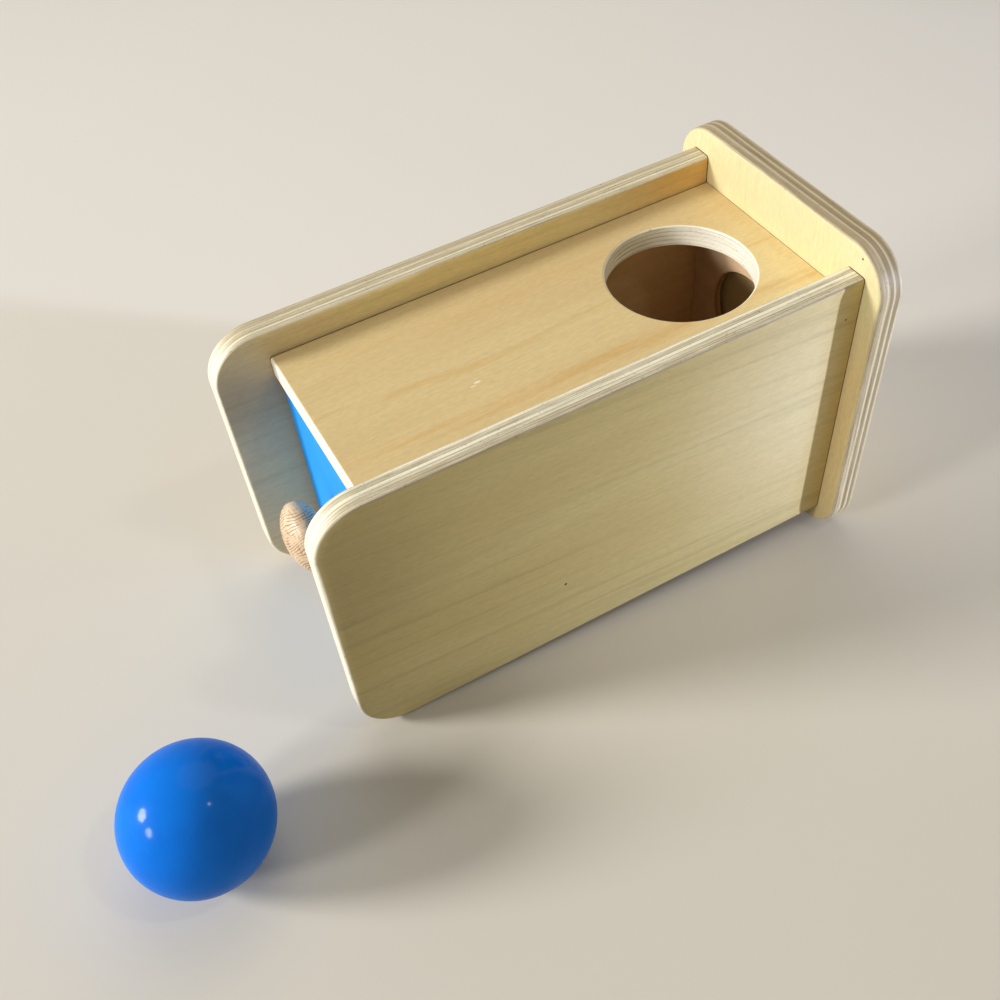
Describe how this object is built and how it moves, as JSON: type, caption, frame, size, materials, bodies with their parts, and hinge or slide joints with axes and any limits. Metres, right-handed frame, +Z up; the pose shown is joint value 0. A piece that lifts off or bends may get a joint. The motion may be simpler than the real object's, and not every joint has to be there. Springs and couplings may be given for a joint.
{
  "type": "object permanence box",
  "caption": "Leaning plywood toy box with a round ball hole in its inset top and a knobbed front drawer that slides out to give the ball back.",
  "frame": {"origin": "on the floor, under the middle of the box's length and width", "axes": "+Z up from the floor that the box stands on; the drawer opens towards -Y; +X is to the right when the drawer is looked at from the front. The box itself leans forward by 3.26 degrees about X."},
  "size_m": [0.1464, 0.3007, 0.1368],
  "materials": {
    "birch_plywood": "clear-coated birch plywood, satin",
    "drawer_plywood": "bare brown plywood",
    "dowel_wood": "bare hardwood",
    "beech": "clear-coated beech, satin",
    "drawer_paint": "blue satin paint on wood",
    "ball_paint": "blue semi-gloss paint on wood",
    "steel": "zinc-plated"
  },
  "bodies": {
    "box": {"left_side_panel": "birch_plywood", "right_side_panel": "birch_plywood", "back_panel": "birch_plywood", "top_panel": "birch_plywood", "bottom_panel": "birch_plywood", "top_panel_dowels": "dowel_wood", "bottom_panel_dowels": "dowel_wood", "back_panel_dowels": "dowel_wood"},
    "drawer": {"drawer_front": "drawer_paint", "drawer_left_side": "drawer_plywood", "drawer_right_side": "drawer_plywood", "drawer_back": "drawer_plywood", "drawer_bottom": "drawer_plywood", "drawer_brads": "steel", "knob": "beech", "knob_screw": "steel"},
    "ball": {"ball": "ball_paint"}
  },
  "joints": [
    {"name": "drawer_slide", "type": "slide", "parent": "box", "child": "drawer", "axis": [0, -0.9984, -0.0568], "range_m": [0, 0.14]},
    {"name": "ball_lift", "type": "slide", "parent": "box", "child": "ball", "axis": [0, 0, 1], "range_m": [0, 0.15]}
  ]
}
